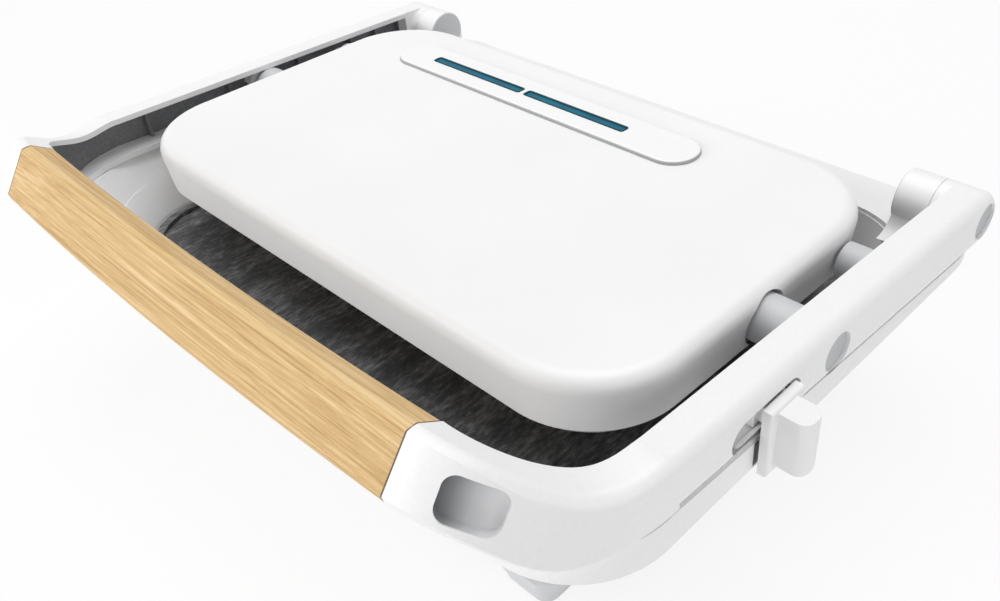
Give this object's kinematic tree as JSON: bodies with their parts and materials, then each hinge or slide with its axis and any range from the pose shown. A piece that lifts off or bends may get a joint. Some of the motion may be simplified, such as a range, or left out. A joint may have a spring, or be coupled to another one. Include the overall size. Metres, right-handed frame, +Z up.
{
  "type": "electric table grill",
  "caption": "Electric table grill: hinged carrying frame with wooden grip, rocking lid with ribbed plate, flat lower plate, side lock and rear drip tray.",
  "frame": {"origin": "on the table, below the middle of the outline with the lock and the drip tray included", "axes": "+X to the right along the grip, +Y to the back where the hinge is, +Z up"},
  "size_m": [0.3645, 0.2909, 0.1412],
  "materials": {
    "white_shell": "fine satin",
    "stone_coating": "mottled matt stone-look coating",
    "light_oak": "oiled, grain along the bar",
    "foot_grey": "matt",
    "pad_rubber": "matt",
    "steel": "brushed",
    "element_steel": "heat-tinted",
    "sheet_aluminium": "plain rolled",
    "dark_plastic": "matt",
    "tray_grey": "satin",
    "lamp_teal": "tinted, glossy",
    "board_green": "lacquered"
  },
  "bodies": {
    "base": {"lower_housing": "white_shell", "base_rim": "white_shell", "lower_plate": "stone_coating", "lower_heater": "element_steel", "lower_reflector": "sheet_aluminium", "bottom_cover": "dark_plastic", "foot_front_left": "foot_grey", "foot_front_right": "foot_grey", "foot_back_left": "foot_grey", "foot_back_right": "foot_grey", "foot_pad_front_left": "pad_rubber", "foot_pad_front_right": "pad_rubber", "foot_pad_back_left": "pad_rubber", "foot_pad_back_right": "pad_rubber", "ear_left": "white_shell", "ear_right": "white_shell", "hinge_pin_left": "steel", "hinge_pin_right": "steel", "thermostat": "dark_plastic", "thermal_fuse": "sheet_aluminium", "terminal_block": "dark_plastic", "cord_inlet": "dark_plastic", "tray_guide": "dark_plastic", "grease_chute": "tray_grey"},
    "frame": {"frame_side_left": "white_shell", "frame_side_right": "white_shell", "grip_bar": "light_oak", "grip_core": "steel", "grip_screw_left": "steel", "grip_screw_right": "steel", "rocker_journal_left": "white_shell", "rocker_journal_right": "white_shell", "rocker_bolt_left": "steel", "rocker_bolt_right": "steel"},
    "lid": {"lid_housing": "white_shell", "upper_plate": "stone_coating", "upper_heater": "element_steel", "heat_shield": "sheet_aluminium", "rocker_bearing_left": "dark_plastic", "rocker_bearing_right": "dark_plastic", "lid_stop_pin_left": "white_shell", "lid_stop_pin_right": "white_shell", "lamp_strip": "white_shell", "lamp_lens_left": "lamp_teal", "lamp_lens_right": "lamp_teal", "lamp_board": "board_green"},
    "lock": {"side_lock": "white_shell"},
    "tray": {"drip_tray": "tray_grey"}
  },
  "joints": [
    {"name": "frame_hinge", "type": "hinge", "parent": "base", "child": "frame", "pos_m": [-0.0072, 0.11825, 0.0976], "axis": [-1, 0, 0], "range_deg": [0, 105]},
    {"name": "lid_rocker", "type": "hinge", "parent": "frame", "child": "lid", "pos_m": [-0.0072, 0.00985, 0.1029], "axis": [1, 0, 0], "range_deg": [-3, 5]},
    {"name": "lock_slide", "type": "slide", "parent": "frame", "child": "lock", "axis": [0, -1, 0], "range_m": [0, 0.009]},
    {"name": "tray_slide", "type": "slide", "parent": "base", "child": "tray", "axis": [0, 1, 0], "range_m": [0, 0.095]}
  ]
}
